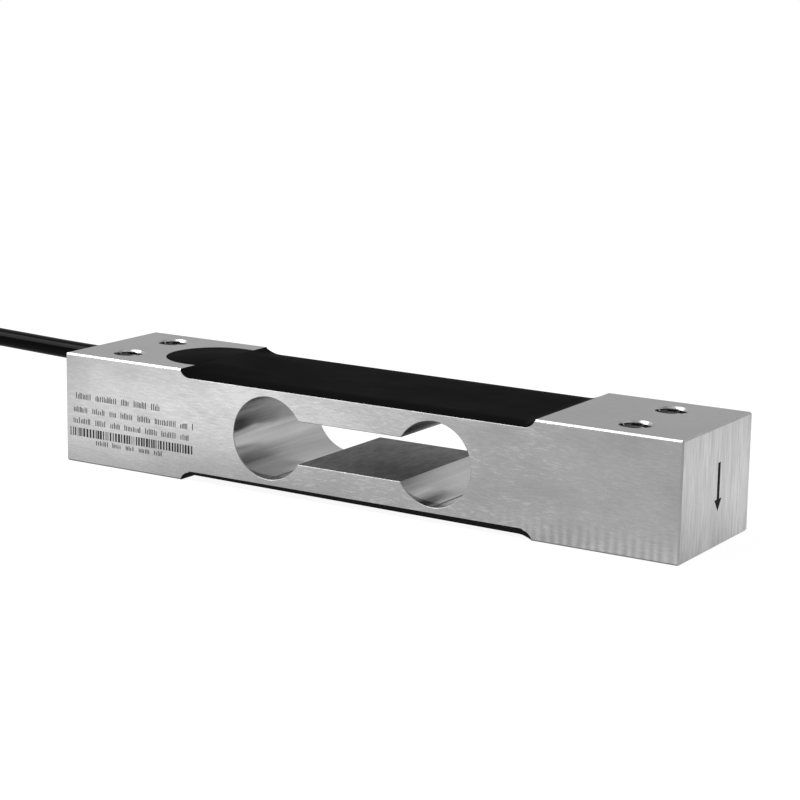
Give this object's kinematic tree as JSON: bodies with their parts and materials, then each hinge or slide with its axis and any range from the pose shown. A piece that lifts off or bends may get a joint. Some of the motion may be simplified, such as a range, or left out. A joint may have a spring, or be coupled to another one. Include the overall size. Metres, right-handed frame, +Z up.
{
  "type": "single point load cell",
  "caption": "Bar-shaped single point load cell with a binocular window, black potted gauge recesses, tapped holes at both ends and a thin cable out of one end.",
  "frame": {"origin": "centre of the beam's underside, level with the fixed and loaded pads", "axes": "+X along the beam from the fixed end, where the cable leaves, to the loaded end; +Y across it; +Z up, against the load"},
  "size_m": [0.229, 0.0402, 0.0212],
  "materials": {
    "beam_metal": "milled and brushed, satin",
    "compound": "smooth matt black sealing compound",
    "gauge_film": "amber polyimide film with a foil grid",
    "terminal_strip": "glass-filled strip with tinned pads",
    "ribbon_copper": "flat copper under clear film",
    "board_laminate": "green solder mask",
    "resistor_body": "black chip with tinned ends",
    "solder": "bright solder",
    "insulation_red": "smooth",
    "insulation_black": "smooth",
    "insulation_green": "smooth",
    "insulation_white": "smooth",
    "tinned_copper": "tinned strands",
    "cable_jacket": "smooth dark PVC",
    "sleeve_rubber": "shrunk sleeve",
    "tie_plastic": "smooth"
  },
  "bodies": {
    "root": {"beam_body": "beam_metal", "board_solder_joints": "solder", "bottom_gauge_fixed_end": "gauge_film", "bottom_gauge_leads": "ribbon_copper", "bottom_gauge_load_end": "gauge_film", "bottom_potting": "compound", "bottom_terminal_fixed_end": "terminal_strip", "bottom_terminal_load_end": "terminal_strip", "cable_coil": "cable_jacket", "cable_exit_sealant": "compound", "cable_in_bore": "cable_jacket", "cable_run": "cable_jacket", "circuit_board": "board_laminate", "coil_tie": "tie_plastic", "core_black": "insulation_black", "core_green": "insulation_green", "core_red": "insulation_red", "core_white": "insulation_white", "lead_black": "insulation_black", "lead_drain_wire": "tinned_copper", "lead_green": "insulation_green", "lead_red": "insulation_red", "lead_sleeve": "sleeve_rubber", "lead_tips": "tinned_copper", "lead_white": "insulation_white", "shield_drain_wire": "tinned_copper", "span_drift_resistor": "resistor_body", "span_resistor": "resistor_body", "top_gauge_fixed_end": "gauge_film", "top_gauge_leads": "ribbon_copper", "top_gauge_load_end": "gauge_film", "top_potting": "compound", "top_terminal_fixed_end": "terminal_strip", "top_terminal_load_end": "terminal_strip", "zero_balance_resistor": "resistor_body", "zero_drift_resistor": "resistor_body"}
  },
  "joints": []
}
